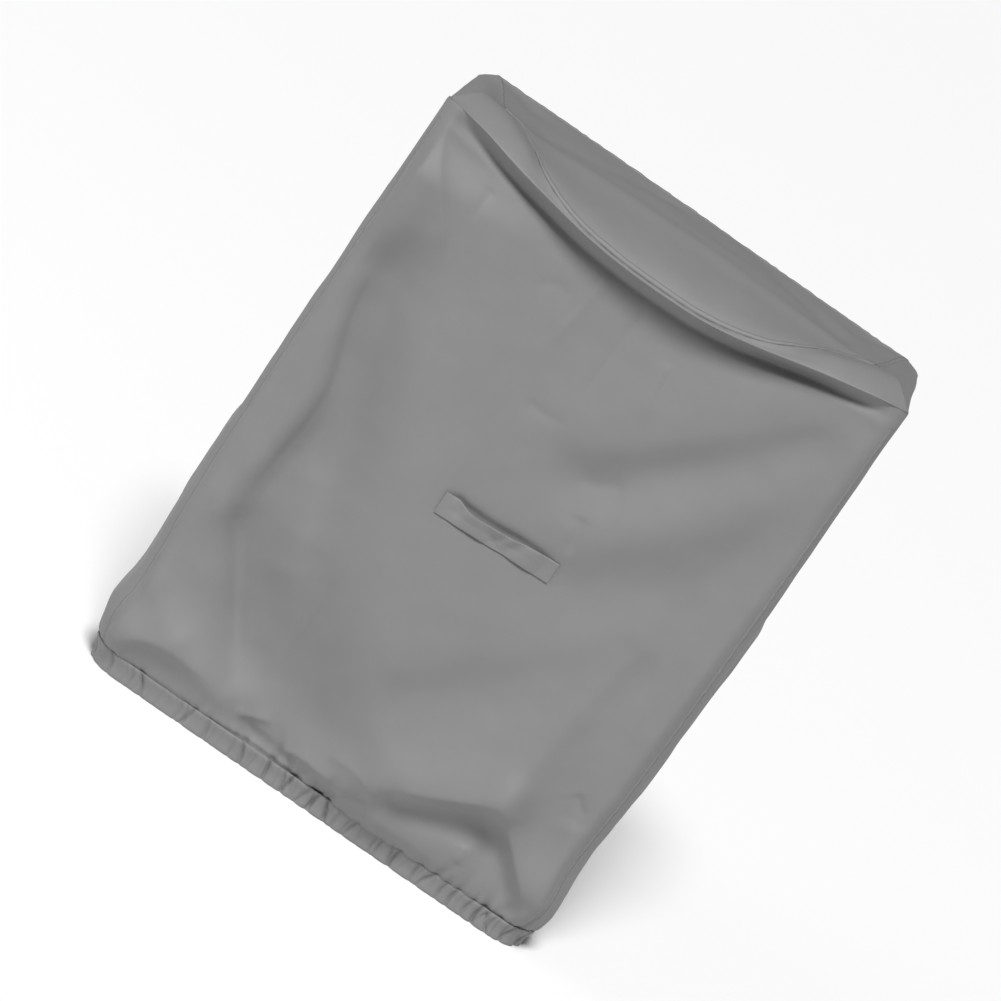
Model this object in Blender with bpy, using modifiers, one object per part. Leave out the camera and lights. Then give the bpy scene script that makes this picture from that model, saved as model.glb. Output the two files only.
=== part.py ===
"""A fitted cover of coated woven polyester for a box-shaped machine, standing as it hangs in use.

Metres, +Z up, the front towards -Y. The origin is under the middle of the cover, at the hem.
Four wall panels and a roof panel are sheets of cloth that meet at seams, with a webbing handle
on the front. Each wall runs from the roof seam, over the roof's edge, down the wall to a
gathered elastic hem. The front wall's upper edge droops in a lip.
"""

import math

import bmesh
import bpy
import numpy as np

# Overall sizes of the cover, to the inner face of its cloth
HALF_WIDTH = 0.405
HALF_DEPTH = 0.178
CLOTH = 0.002

# The lip stands further forward than the back wall stands back, so the middle lies behind y = 0
MIDDLE_Y = 0.018

# Half of the gap between two panels that meet at a seam
SEAM_HALF_GAP = 0.00016

# Where the wall's cloth reaches far over the roof its edge is drawn in by this share of the way
SEAM_DRAWN_IN = 0.004

# Rows of faces from the roof seam to the wall, and down the wall to the hem
ROOF_ROWS = 5
WALL_ROWS = 26
FRONT_COLUMNS = 32
BACK_COLUMNS = 14
SIDE_COLUMNS = 10
FRONT_HEM_CUTS = 3
BACK_HEM_CUTS = 5
SIDE_HEM_CUTS = 3

# The wall's outline at a few heights: half width, half depth and corner radius
OUTLINE = (
    # height, half_width, half_depth, radius
    (0.000, 0.391, 0.166, 0.055),
    (0.018, 0.391, 0.166, 0.055),
    (0.036, 0.399, 0.173, 0.058),
    (0.085, 0.407, 0.181, 0.056),
    (0.150, 0.399, 0.175, 0.046),
    (0.300, 0.403, 0.178, 0.036),
    (0.600, 0.405, 0.178, 0.028),
    (0.950, 0.402, 0.178, 0.018),
    (1.030, 0.401, 0.178, 0.014),
)
CASING_TOP = 0.036
CASING_TURN = 0.018

# The front panel's upper edge, from left to right. The roof seam lies on the roof near the
# corners and just above the lip in the middle. Tuck is how far the wall lies behind the lip.
LIP = (
    # lip_x, lip_y, lip_z, seam_x, seam_y, seam_z, tuck
    (-0.395, -0.172, 1.019, -0.335, -0.080, 1.031, 0.000),
    (-0.365, -0.186, 1.016, -0.300, -0.092, 1.028, 0.008),
    (-0.322, -0.192, 1.008, -0.280, -0.112, 1.022, 0.012),
    (-0.279, -0.197, 0.997, -0.255, -0.140, 1.013, 0.013),
    (-0.234, -0.200, 0.986, -0.226, -0.172, 1.000, 0.013),
    (-0.189, -0.202, 0.977, -0.187, -0.193, 0.986, 0.013),
    (-0.146, -0.203, 0.969, -0.146, -0.201, 0.975, 0.013),
    (-0.090, -0.204, 0.962, -0.090, -0.203, 0.967, 0.011),
    (0.010, -0.205, 0.958, 0.010, -0.204, 0.963, 0.011),
    (0.080, -0.205, 0.960, 0.080, -0.204, 0.965, 0.014),
    (0.129, -0.204, 0.966, 0.129, -0.202, 0.973, 0.019),
    (0.175, -0.203, 0.975, 0.174, -0.195, 0.985, 0.025),
    (0.222, -0.200, 0.986, 0.212, -0.174, 1.000, 0.028),
    (0.269, -0.196, 0.997, 0.245, -0.144, 1.012, 0.026),
    (0.315, -0.192, 1.006, 0.279, -0.112, 1.019, 0.018),
    (0.362, -0.184, 1.014, 0.306, -0.090, 1.024, 0.009),
    (0.395, -0.172, 1.017, 0.332, -0.078, 1.028, 0.000),
)

# A side panel's upper edge, from front to back, as fractions of its length. Its ends are the
# corners that it shares with the front and back panels.
SIDE_EDGE = (
    # fraction, edge_x, edge_z, seam_x, seam_z
    (0.20, 0.400, 1.008, 0.341, 1.024),
    (0.50, 0.400, 1.006, 0.352, 1.021),
    (0.80, 0.400, 1.009, 0.365, 1.021),
)
# The back panel's upper edge, whose right end lies a little lower
BACK_EDGE_Z = 1.010
BACK_SEAM_Y = 0.164
BACK_SEAM = (
    # fraction, seam_z
    (0.12, 1.023),
    (0.50, 1.022),
    (0.88, 1.019),
)
BACK_CORNER_SEAMS = {"left": (0.378, 0.158, 1.024), "right": (0.376, 0.158, 1.020)}

# Under its lip the front cloth goes back by a share of the way to the wall, which starts lower down
LIP_UNDERSIDE = 0.004
LIP_UNDERSIDE_SHARE = 0.60
TUCKED_BELOW = 0.55
TUCKED_SHARE = 0.50
FULL_LIP_TUCK = 0.012
WALL_STARTS_BELOW = 0.036

# Where the seam lies on the roof, the cloth from it to the edge is a little crowned
CROWN_FROM_REACH = 0.02
CROWN_REACH_BAND = 0.05
CROWN_OF_REACH = 0.10
CROWN_OF_RISE = 0.25

# How far the front wall stands forward of its outline in the middle, down its height
FRONT_BELLY = (
    # height, forward
    (0.00, 0.000),
    (0.10, 0.002),
    (0.30, 0.010),
    (0.55, 0.004),
    (0.75, -0.004),
    (0.94, -0.010),
    (1.03, -0.010),
)

# Folds: each is a soft ridge (height over 0) or trough (under 0) along a few points, with its own
# width on the left and on the right of its path. A point is the place across and the height.
FRONT_FOLDS = (
    # height, left_width, right_width, points
    (0.012, 0.024, 0.028, ((-0.390, 0.99), (-0.374, 0.89), (-0.358, 0.78), (-0.342, 0.65),
     (-0.316, 0.53), (-0.322, 0.42), (-0.332, 0.33))),
    (0.027, 0.095, 0.070, ((-0.380, 0.98), (-0.328, 0.88), (-0.272, 0.79), (-0.216, 0.68),
     (-0.160, 0.56), (-0.100, 0.43), (-0.040, 0.325), (0.025, 0.225), (0.090, 0.150))),
    (-0.021, 0.072, 0.024, ((-0.336, 0.74), (-0.314, 0.64), (-0.284, 0.53), (-0.292, 0.42),
     (-0.300, 0.335), (-0.255, 0.238), (-0.190, 0.130))),
    (0.008, 0.022, 0.030, ((-0.262, 0.44), (-0.240, 0.37), (-0.222, 0.30))),
    (0.012, 0.032, 0.058, ((0.380, 1.00), (0.300, 0.935), (0.200, 0.842), (0.100, 0.757), (0.055, 0.725))),
    (-0.008, 0.030, 0.030, ((0.360, 0.965), (0.300, 0.885), (0.200, 0.768), (0.120, 0.690),
     (0.060, 0.655))),
    (0.012, 0.036, 0.034, ((0.368, 0.960), (0.335, 0.850), (0.300, 0.775), (0.200, 0.667), (0.118, 0.575))),
    (-0.010, 0.055, 0.045, ((0.345, 0.900), (0.343, 0.760), (0.305, 0.630), (0.240, 0.562),
     (0.130, 0.532))),
    (0.009, 0.016, 0.028, ((0.385, 0.98), (0.379, 0.80), (0.377, 0.55), (0.375, 0.30), (0.378, 0.10))),
    (-0.008, 0.045, 0.028, ((0.270, 0.480), (0.220, 0.410), (0.160, 0.350), (0.100, 0.300),
     (0.040, 0.250))),
    (0.011, 0.022, 0.045, ((0.275, 0.500), (0.262, 0.440), (0.254, 0.370), (0.247, 0.290), (0.247, 0.190))),
    (0.016, 0.044, 0.016, ((0.095, 0.124), (0.150, 0.148), (0.200, 0.172), (0.247, 0.197))),
    (0.014, 0.036, 0.018, ((0.247, 0.197), (0.300, 0.138), (0.366, 0.070))),
    (-0.014, 0.020, 0.020, ((0.120, 0.100), (0.200, 0.121), (0.250, 0.136), (0.300, 0.102),
     (0.345, 0.070))),
    (0.012, 0.030, 0.016, ((-0.365, 0.060), (-0.340, 0.081), (-0.300, 0.095), (-0.250, 0.094),
     (-0.190, 0.084))),
    (0.010, 0.024, 0.020, ((-0.385, 0.176), (-0.345, 0.152), (-0.293, 0.120))),
    (0.008, 0.030, 0.014, ((-0.150, 0.072), (-0.060, 0.066), (0.030, 0.072))),
)
BACK_FOLDS = (
    # height, left_width, right_width, points
    (-0.010, 0.026, 0.026, ((-0.370, 0.99), (-0.220, 0.80), (-0.120, 0.62))),
    (0.008, 0.026, 0.026, ((-0.300, 0.97), (-0.150, 0.81), (-0.040, 0.60))),
    (-0.010, 0.028, 0.028, ((0.375, 0.98), (0.260, 0.77), (0.150, 0.60), (0.090, 0.42))),
    (0.010, 0.030, 0.030, ((0.330, 0.62), (0.240, 0.44), (0.230, 0.20))),
    (0.009, 0.030, 0.030, ((-0.280, 0.50), (-0.300, 0.33), (-0.200, 0.14))),
    (-0.010, 0.028, 0.028, ((-0.100, 0.40), (0.020, 0.24), (0.120, 0.11))),
    (-0.009, 0.020, 0.020, ((-0.330, 0.08), (-0.230, 0.11), (-0.120, 0.08))),
    (-0.009, 0.020, 0.020, ((0.160, 0.08), (0.250, 0.12), (0.340, 0.08))),
)
LEFT_FOLDS = (
    # height, left_width, right_width, points
    (-0.008, 0.020, 0.020, ((-0.120, 0.97), (-0.060, 0.74), (-0.030, 0.52))),
    (0.008, 0.022, 0.022, ((0.110, 0.93), (0.060, 0.66), (0.080, 0.40))),
    (-0.009, 0.024, 0.024, ((0.100, 0.52), (0.010, 0.30), (-0.040, 0.16))),
    (0.008, 0.022, 0.022, ((-0.090, 0.42), (-0.070, 0.26), (-0.100, 0.10))),
    (-0.008, 0.016, 0.016, ((-0.080, 0.08), (0.020, 0.11), (0.110, 0.08))),
)
RIGHT_FOLDS = (
    # height, left_width, right_width, points
    (-0.009, 0.022, 0.022, ((-0.130, 0.93), (-0.020, 0.70), (0.040, 0.46))),
    (0.004, 0.022, 0.022, ((0.120, 0.88), (0.090, 0.60), (0.030, 0.34))),
    (0.007, 0.020, 0.020, ((-0.110, 0.60), (-0.080, 0.36), (-0.040, 0.20))),
    (-0.009, 0.022, 0.022, ((0.110, 0.34), (0.050, 0.20), (-0.050, 0.14))),
    (-0.008, 0.016, 0.016, ((-0.110, 0.10), (0.000, 0.08), (0.090, 0.11))),
)
# On the roof a point is the place across and the place from front to back
ROOF_FOLDS = (
    # height, left_width, right_width, points
    (0.004, 0.018, 0.018, ((-0.300, -0.090), (-0.180, -0.060), (0.000, -0.045), (0.180, -0.055),
     (0.300, -0.085))),
    (-0.004, 0.020, 0.020, ((-0.250, -0.010), (-0.130, 0.060), (-0.060, 0.120))),
    (-0.003, 0.020, 0.020, ((0.260, 0.000), (0.170, 0.070), (0.120, 0.130))),
    (-0.004, 0.018, 0.018, ((-0.330, 0.150), (-0.300, 0.100))),
    (-0.004, 0.018, 0.018, ((0.320, 0.150), (0.290, 0.100))),
)

# The roof panel's size between its seams, its flat part from the back and its slight crown
ROOF_WIDTH = 0.70
ROOF_DEPTH = 0.24
ROOF_FLAT_FROM = 0.66
ROOF_ROLL = (1.8, 1.6)
ROOF_CROWN = 0.004

# Faces along the roof's sides crowd towards the front, where the roof rolls over
SIDE_CROWDING = 1.25

# The front wall's folds are calmer just under the lip and die away at the hem
LIP_CALM = 0.65
LIP_CALM_FROM = 0.90
LIP_CALM_BAND = 0.07
HEM_CALM_FROM = 0.016
HEM_CALM_BAND = 0.045
SIDE_BLEND = 0.0001

# The folds die away within this distance of a corner seam, where two panels hold each other
FOLD_FADE = 0.022

# The elastic hem gathers the cloth in ruffles
RUFFLE_PITCH = 0.027
RUFFLE_DEPTH = 0.0032
RUFFLE_DRIFT = (
    # size, pitch, start
    (0.6, 0.190, 1.0),
    (0.5, 0.083, 0.0),
)
RUFFLE_SWELL = (0.25, 0.110, 2.0)
GATHERED_BELOW = 0.075
GATHERED_BAND = 0.055

# The handle: a strap of webbing sewn flat to the front panel at both ends
HANDLE_X = 0.0155
HANDLE_Z = 0.5235
HANDLE_LENGTH = 0.195
HANDLE_WIDTH = 0.034
HANDLE_THICKNESS = 0.0025
HANDLE_SEWN = 0.022
HANDLE_RISE = 0.035
HANDLE_BOW = 0.013
HANDLE_SWAY = 0.0015
HANDLE_GAP = 0.0004
HANDLE_COLUMNS = 26
# The cloth under the handle is held flat over a little more than the handle's own size
SEAT_FORWARD = 0.006
SEAT_HALF_SIZE = (0.126, 0.055)
SEAT_FADE = 0.035


def smoothstep(value):
    """Rises from 0 to 1 as the value goes from 0 to 1, with no corner at either end."""
    value = np.clip(value, 0.0, 1.0)
    return value * value * (3.0 - 2.0 * value)


def through(at, knots, values):
    """A smooth curve through values given at rising knots, read at the places in at."""
    knots = np.asarray(knots, float)
    values = np.asarray(values, float)
    slopes = np.gradient(values, knots, axis=0)
    low = np.clip(np.searchsorted(knots, at, side="right") - 1, 0, len(knots) - 2)
    span = knots[low + 1] - knots[low]
    part = np.clip((at - knots[low]) / span, 0.0, 1.0)
    if values.ndim == 2:
        span = span[:, None]
        part = part[:, None]
    rest = 1.0 - part
    return (
        (1.0 + 2.0 * part) * rest**2 * values[low]
        + part * rest**2 * span * slopes[low]
        + part**2 * (3.0 - 2.0 * part) * values[low + 1]
        - part**2 * rest * span * slopes[low + 1]
    )


def read_outline(height):
    """Half width, half depth and corner radius of the walls at each height."""
    table = np.array(OUTLINE)
    return through(height, table[:, 0], table[:, 1:]).T


def fold_relief(across, up, folds):
    """The sum of the ridges and troughs at each place on a panel."""
    relief = np.zeros_like(across)
    for height, left_width, right_width, points in folds:
        nearest = np.full_like(across, np.inf)
        left_share = np.zeros_like(across)
        for (x0, z0), (x1, z1) in zip(points, points[1:]):
            dx, dz = x1 - x0, z1 - z0
            part = ((across - x0) * dx + (up - z0) * dz) / (dx * dx + dz * dz)
            part = np.clip(part, 0.0, 1.0)
            gap = np.hypot(across - x0 - part * dx, up - z0 - part * dz)
            turn = (dx * (up - z0) - dz * (across - x0)) / math.hypot(dx, dz)
            share = 0.5 + 0.5 * np.clip(turn / (gap + SIDE_BLEND), -1.0, 1.0)
            left_share = np.where(gap < nearest, share, left_share)
            nearest = np.minimum(nearest, gap)
        width = right_width + (left_width - right_width) * left_share
        relief += height * np.exp(-0.5 * (nearest / width) ** 2)
    return relief


def ruffle(along):
    """The gathered hem's in and out, along its length, a little uneven."""
    drift = sum(size * np.sin(math.tau * along / pitch + start) for size, pitch, start in RUFFLE_DRIFT)
    size, pitch, start = RUFFLE_SWELL
    strength = 1.0 - size + size * np.sin(math.tau * along / pitch + start)
    return RUFFLE_DEPTH * strength * np.sin(math.tau * along / RUFFLE_PITCH + drift)


def hem_strength(height):
    """How much of the ruffle shows: all of it at the elastic, none well above it."""
    return smoothstep((GATHERED_BELOW - height) / GATHERED_BAND)


def rounded(across, half_across, half_out, radius):
    """Distance out of a wall with rounded corners, and how far its face has turned there."""
    past = np.clip(np.abs(across) - (half_across - radius), 0.0, None)
    turn = np.clip(past / radius, 0.0, 1.0)
    out = half_out - radius + radius * np.sqrt(1.0 - turn * turn)
    return out, turn * np.sign(across)


def seat_mask(across, height):
    """1 where the handle lies on the front panel, fading to 0 around it."""
    beside = np.abs(across - HANDLE_X) - SEAT_HALF_SIZE[0]
    above = np.abs(height - HANDLE_Z) - SEAT_HALF_SIZE[1]
    return smoothstep(1.0 - np.maximum(beside, above) / SEAT_FADE)


def front_relief(across, height):
    """How far the front cloth stands forward of its outline."""
    table = np.array(FRONT_BELLY)
    share = np.clip(1.0 - (across / HALF_WIDTH) ** 4, 0.0, 1.0)
    calm = 1.0 - LIP_CALM * smoothstep((height - LIP_CALM_FROM) / LIP_CALM_BAND)
    calm *= smoothstep((height - HEM_CALM_FROM) / HEM_CALM_BAND)
    free = through(height, table[:, 0], table[:, 1]) * share + calm * fold_relief(across, height, FRONT_FOLDS)
    held = seat_mask(across, height)
    return free * (1.0 - held) + SEAT_FORWARD * held


def side_relief(folds):
    """The relief of a wall with the given folds."""

    def relief(across, height):
        return fold_relief(across, height, folds)

    return relief


def wall_points(side, fraction, height):
    """Points on a wall at a fraction of its width and at a height, on the cloth's inner face."""
    half_width, half_depth, radius = read_outline(height)
    if side in ("front", "back"):
        half_across, half_out = half_width, half_depth
    else:
        half_across, half_out = half_depth, half_width
    corner = half_across - radius * (1.0 - math.sqrt(0.5))
    across = (2.0 * fraction - 1.0) * corner
    out, turn = rounded(across, half_across, half_out, radius)
    relief = RELIEF[side](across, height) + ruffle(across + PHASE[side]) * hem_strength(height)
    relief = relief * smoothstep((corner - np.abs(across)) / FOLD_FADE)
    across = across + relief * turn
    out = out + relief * np.sqrt(1.0 - turn * turn)
    if side == "front":
        return np.stack([across, -out, height], axis=1)
    if side == "back":
        return np.stack([across, out, height], axis=1)
    if side == "left":
        return np.stack([-out, across, height], axis=1)
    return np.stack([out, across, height], axis=1)


RELIEF = {
    "front": front_relief,
    "back": side_relief(BACK_FOLDS),
    "left": side_relief(LEFT_FOLDS),
    "right": side_relief(RIGHT_FOLDS),
}
PHASE = {"front": 0.0, "back": 0.31, "left": 0.13, "right": 0.22}


def corner_row(corner):
    """Edge point, seam point and tuck of one of the four upper corners."""
    front_or_back, left_or_right = corner
    if front_or_back == "front":
        row = LIP[0] if left_or_right == "left" else LIP[-1]
        return (*row[:3], *row[3:6], row[6])
    sign = -1.0 if left_or_right == "left" else 1.0
    edge_x, edge_y = corner_edge("back", BACK_EDGE_Z)
    seam_x, seam_y, seam_z = BACK_CORNER_SEAMS[left_or_right]
    return (sign * edge_x, edge_y, BACK_EDGE_Z, sign * seam_x, seam_y, seam_z, 0.0)


def corner_edge(side, height):
    """The middle of a corner's arc at a height, on the right."""
    x, y, _ = wall_points(side, np.array([1.0]), np.array([height]))[0]
    return x, y


def edge_table(side):
    """Rows of fraction, edge point, seam point and tuck along a panel's upper edge."""
    if side == "front":
        rows = [((row[0] - LIP[0][0]) / (LIP[-1][0] - LIP[0][0]), *row) for row in LIP]
    elif side == "back":
        rows = [(0.0, *corner_row(("back", "left")))]
        for fraction, seam_z in BACK_SEAM:
            x = (2.0 * fraction - 1.0) * corner_edge("back", BACK_EDGE_Z)[0]
            rows.append((fraction, x, HALF_DEPTH, BACK_EDGE_Z, x, BACK_SEAM_Y, seam_z, 0.0))
        rows.append((1.0, *corner_row(("back", "right"))))
    else:
        sign = -1.0 if side == "left" else 1.0
        front, back = corner_row(("front", side)), corner_row(("back", side))
        rows = [(0.0, *front)]
        for fraction, edge_x, edge_z, seam_x, seam_z in SIDE_EDGE:
            edge_y = front[1] + fraction * (back[1] - front[1])
            seam_y = front[4] + fraction * (back[4] - front[4])
            rows.append((fraction, sign * edge_x, edge_y, edge_z, sign * seam_x, seam_y, seam_z, 0.0))
        rows.append((1.0, *back))
    return np.array(rows)


def roof_edge_knots(side, fraction):
    """The path from the roof seam over the edge to the wall, as points for each fraction."""
    table = edge_table(side)
    row = through(fraction, table[:, 0], table[:, 1:])
    edge, seam, tuck = row[:, 0:3], row[:, 3:6], row[:, 6]
    wall = [
        wall_points(side, fraction, edge[:, 2] - below)
        for below in (LIP_UNDERSIDE, TUCKED_BELOW * WALL_STARTS_BELOW, WALL_STARTS_BELOW, 2.0 * WALL_STARTS_BELOW)
    ]
    reach = np.linalg.norm(seam - edge, axis=1)
    outward = edge - wall[2]
    outward[:, 2] = 0.0
    on_roof = smoothstep((reach - CROWN_FROM_REACH) / CROWN_REACH_BAND)
    crown = 0.5 * (seam + edge)
    crown[:, 2] += on_roof * (CROWN_OF_REACH * reach + CROWN_OF_RISE * (seam[:, 2] - edge[:, 2]))
    under, tucked = wall[0].copy(), wall[1].copy()
    lip = smoothstep(tuck / FULL_LIP_TUCK)[:, None]
    drawn_back = edge[:, :2] - LIP_UNDERSIDE_SHARE * outward[:, :2]
    under[:, :2] = lip * drawn_back + (1.0 - lip) * under[:, :2]
    if side == "front":
        tucked[:, 1] += TUCKED_SHARE * tuck
    return np.stack([seam, crown, edge, under, tucked, wall[2], wall[3]], axis=1)


def along_knots(knots, place):
    """Points on the smooth path through each row of knots, at places counted in knots."""
    last = knots.shape[1] - 2
    low = np.clip(np.floor(place).astype(int), 0, last)
    part = (place - low)[:, None]
    row = np.arange(len(place))
    start, end = knots[row, low], knots[row, low + 1]
    before = knots[row, np.maximum(low - 1, 0)]
    after = knots[row, np.minimum(low + 2, last + 1)]
    rise_start = np.where(low[:, None] > 0, 0.5 * (end - before), end - start)
    rise_end = np.where(low[:, None] < last, 0.5 * (after - start), end - start)
    rest = 1.0 - part
    return (
        (1.0 + 2.0 * part) * rest**2 * start
        + part * rest**2 * rise_start
        + part**2 * (3.0 - 2.0 * part) * end
        - part**2 * rest * rise_end
    )


def panel_points(side, fraction, down):
    """Points on a wall panel. Down is 0 at the roof seam, 1 where the wall starts, 2 at the top
    of the hem casing and 3 at the bottom of it."""
    knots = roof_edge_knots(side, fraction)
    points = along_knots(knots, ROOF_ROWS * np.clip(down, 0.0, 1.0))
    start = knots[:, 5, 2]
    height = np.where(
        down < 2.0,
        start + (CASING_TOP - start) * (down - 1.0),
        CASING_TOP * np.clip(3.0 - down, 0.0, 1.0),
    )
    height = np.where(np.isclose(down, 2.5), CASING_TURN, height)
    on_wall = down > 1.0
    points[on_wall] = wall_points(side, fraction, height)[on_wall]
    from_seam = knots[:, 1] - knots[:, 0]
    from_seam *= 2.0 * SEAM_HALF_GAP / np.linalg.norm(from_seam, axis=1)[:, None]
    at_seam = down < 0.5 / ROOF_ROWS
    points[at_seam] += from_seam[at_seam]
    return points


def roof_points(across, back):
    """Points on the roof panel between its four seams. Across is 0 at the left and 1 at the
    right, back is 0 at the front seam and 1 at the back seam."""
    ends = np.zeros_like(across)
    front = roof_edge_knots("front", across)[:, 0]
    rear = roof_edge_knots("back", across)[:, 0]
    left = roof_edge_knots("left", back)[:, 0]
    right = roof_edge_knots("right", back)[:, 0]
    corners = {
        (side, end): roof_edge_knots(side, ends + end)[:, 0] for side in ("left", "right") for end in (0, 1)
    }
    drooping = np.clip(1.0 - back / ROOF_FLAT_FROM, 0.0, 1.0)
    rise = (1.0 - drooping ** ROOF_ROLL[0]) ** (1.0 / ROOF_ROLL[1])
    share = np.stack([back, back, rise], axis=1)
    a = across[:, None]
    points = (
        (1.0 - share) * front
        + share * rear
        + (1.0 - a) * (left - (1.0 - share) * corners["left", 0] - share * corners["left", 1])
        + a * (right - (1.0 - share) * corners["right", 0] - share * corners["right", 1])
    )
    beside = ROOF_WIDTH * np.minimum(across, 1.0 - across)
    inside = np.minimum(beside, ROOF_DEPTH * np.minimum(back, 1.0 - back))
    crown = ROOF_CROWN * np.sin(math.pi * across) * np.sin(math.pi * back)
    relief = fold_relief(points[:, 0], points[:, 1], ROOF_FOLDS) + crown
    points[:, 2] += relief * smoothstep(inside / FOLD_FADE)
    return points


def even_places(columns):
    """Places from 0 to 1, evenly apart."""
    return [column / columns for column in range(columns + 1)]


def side_places():
    """Places along the roof's sides, from 0 at the front to 1 at the back, closer at the front."""
    return [place**SIDE_CROWDING for place in even_places(SIDE_COLUMNS)]


def flat_grid(places, downs, gap):
    """A flat grid over a panel's own coordinates, drawn in at its side seams by their gap."""
    columns, rows = len(places) - 1, len(downs) - 1
    places = [places[0] + gap, *places[1:-1], places[-1] - gap]
    mesh = bmesh.new()
    bmesh.ops.create_grid(mesh, x_segments=columns, y_segments=rows, size=0.5)
    for vertex in mesh.verts:
        column = round((vertex.co.x + 0.5) * columns)
        row = round((vertex.co.y + 0.5) * rows)
        vertex.co.x = places[column]
        vertex.co.y = downs[row]
    return mesh


def add_hem(mesh, cuts):
    """Finer columns for the gathered casing, joined to the panel's last row."""
    last = [edge for edge in mesh.edges if all(vertex.co.y > 1.999 for vertex in edge.verts)]
    bmesh.ops.subdivide_edges(mesh, edges=last, cuts=cuts)
    for down in (2.5, 3.0):
        last = [edge for edge in mesh.edges if edge.is_boundary and edge_is_low(edge, down)]
        made = bmesh.ops.extrude_edge_only(mesh, edges=last)["geom"]
        for vertex in made:
            if isinstance(vertex, bmesh.types.BMVert):
                vertex.co.y = down


def edge_is_low(edge, below):
    """Whether an edge is the last one above the given place."""
    first, second = (vertex.co.y for vertex in edge.verts)
    return abs(first - second) < 1e-6 and 1.99 < first < below


def finish_panel(name, mesh, place, inside_out):
    """Places a flat grid's points in space and makes a sheet of cloth of it."""
    mesh.verts.ensure_lookup_table()
    flat = np.array([vertex.co[:2] for vertex in mesh.verts])
    points = place(flat[:, 0], flat[:, 1]) + (0.0, MIDDLE_Y, 0.0)
    for vertex, point in zip(mesh.verts, points):
        vertex.co = point
    if inside_out:
        bmesh.ops.reverse_faces(mesh, faces=mesh.faces)
    data = bpy.data.meshes.new(name)
    mesh.to_mesh(data)
    mesh.free()
    data.shade_smooth()
    panel = bpy.data.objects.new(name, data)
    COVER.objects.link(panel)
    panel.data.materials.append(cloth_material(name))
    thickness = panel.modifiers.new("cloth thickness", "SOLIDIFY")
    thickness.thickness = CLOTH
    thickness.offset = 1.0
    return panel


def cloth_material(name):
    """Grey coated polyester, matt with a faint sheen."""
    material = bpy.data.materials.new(name + "_cloth")
    material.use_nodes = True
    shader = material.node_tree.nodes["Principled BSDF"]
    shader.inputs["Base Color"].default_value = (0.24, 0.24, 0.245, 1.0)
    shader.inputs["Roughness"].default_value = 0.72
    shader.inputs["Metallic"].default_value = 0.0
    return material


def wall_panel(name, side, places, hem_cuts):
    """One wall of cloth with its roof edge and its hem."""
    width = 2.0 * (HALF_WIDTH if side in ("front", "back") else HALF_DEPTH)
    downs = [SEAM_DRAWN_IN, *(row / ROOF_ROWS for row in range(1, ROOF_ROWS + 1))]
    downs += [1.0 + row / WALL_ROWS for row in range(1, WALL_ROWS + 1)]
    mesh = flat_grid(places, downs, SEAM_HALF_GAP / width)
    add_hem(mesh, hem_cuts)
    return finish_panel(
        name, mesh, lambda across, down: panel_points(side, across, down), side in ("front", "right")
    )


def roof_panel():
    """The roof's cloth, between the four roof seams."""
    downs = side_places()
    downs[0] += SEAM_HALF_GAP / ROOF_DEPTH
    downs[-1] -= SEAM_HALF_GAP / ROOF_DEPTH
    mesh = flat_grid(even_places(FRONT_COLUMNS), downs, SEAM_HALF_GAP / ROOF_WIDTH)
    return finish_panel("top_panel", mesh, roof_points, False)


def handle_strap():
    """Webbing sewn flat at both ends and bowed off the cloth between them."""
    mesh = bmesh.new()
    bmesh.ops.create_grid(mesh, x_segments=HANDLE_COLUMNS, y_segments=2, size=0.5)
    half = HANDLE_LENGTH / 2.0
    seat = wall_points("front", np.array([0.5 + 0.5 * HANDLE_X / HALF_WIDTH]), np.array([HANDLE_Z]))
    cloth_face = MIDDLE_Y + seat[0, 1] - CLOTH
    for vertex in mesh.verts:
        along = vertex.co.x * HANDLE_LENGTH
        free = float(smoothstep((half - HANDLE_SEWN - abs(along)) / HANDLE_RISE))
        bow = HANDLE_BOW * free * (0.9 + 0.1 * math.cos(math.pi * along / half))
        sideways = HANDLE_SWAY * math.sin(math.pi * (along / half + 0.4)) * free
        vertex.co = (
            HANDLE_X + along,
            cloth_face - HANDLE_GAP - bow,
            HANDLE_Z + vertex.co.y * HANDLE_WIDTH + sideways,
        )
    data = bpy.data.meshes.new("handle")
    mesh.to_mesh(data)
    mesh.free()
    data.shade_smooth()
    strap = bpy.data.objects.new("handle", data)
    COVER.objects.link(strap)
    strap.data.materials.append(cloth_material("handle"))
    thickness = strap.modifiers.new("webbing thickness", "SOLIDIFY")
    thickness.thickness = HANDLE_THICKNESS
    thickness.offset = 1.0
    return strap


for old in list(bpy.data.objects):
    bpy.data.objects.remove(old)

COVER = bpy.data.collections.new("log_splitter_cover")
bpy.context.scene.collection.children.link(COVER)

wall_panel("front_panel", "front", even_places(FRONT_COLUMNS), FRONT_HEM_CUTS)
wall_panel("back_panel", "back", even_places(BACK_COLUMNS), BACK_HEM_CUTS)
wall_panel("side_left", "left", side_places(), SIDE_HEM_CUTS)
wall_panel("side_right", "right", side_places(), SIDE_HEM_CUTS)
roof_panel()
handle_strap()
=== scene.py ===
"""Looks of the fitted cover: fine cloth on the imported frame, its seams, hem and handle, and the studio.

Metres, +Z up, the front towards -Y. The cover's own shape repeats the rules that its solids were
made by, on a finer grid and with a few folds deeper. It adds the creases, gathers and stitches that
the solids leave out.
"""

import math

import bpy  # noqa: E402
import numpy as np  # noqa: E402
from mathutils import Matrix, Vector  # noqa: E402


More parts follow.
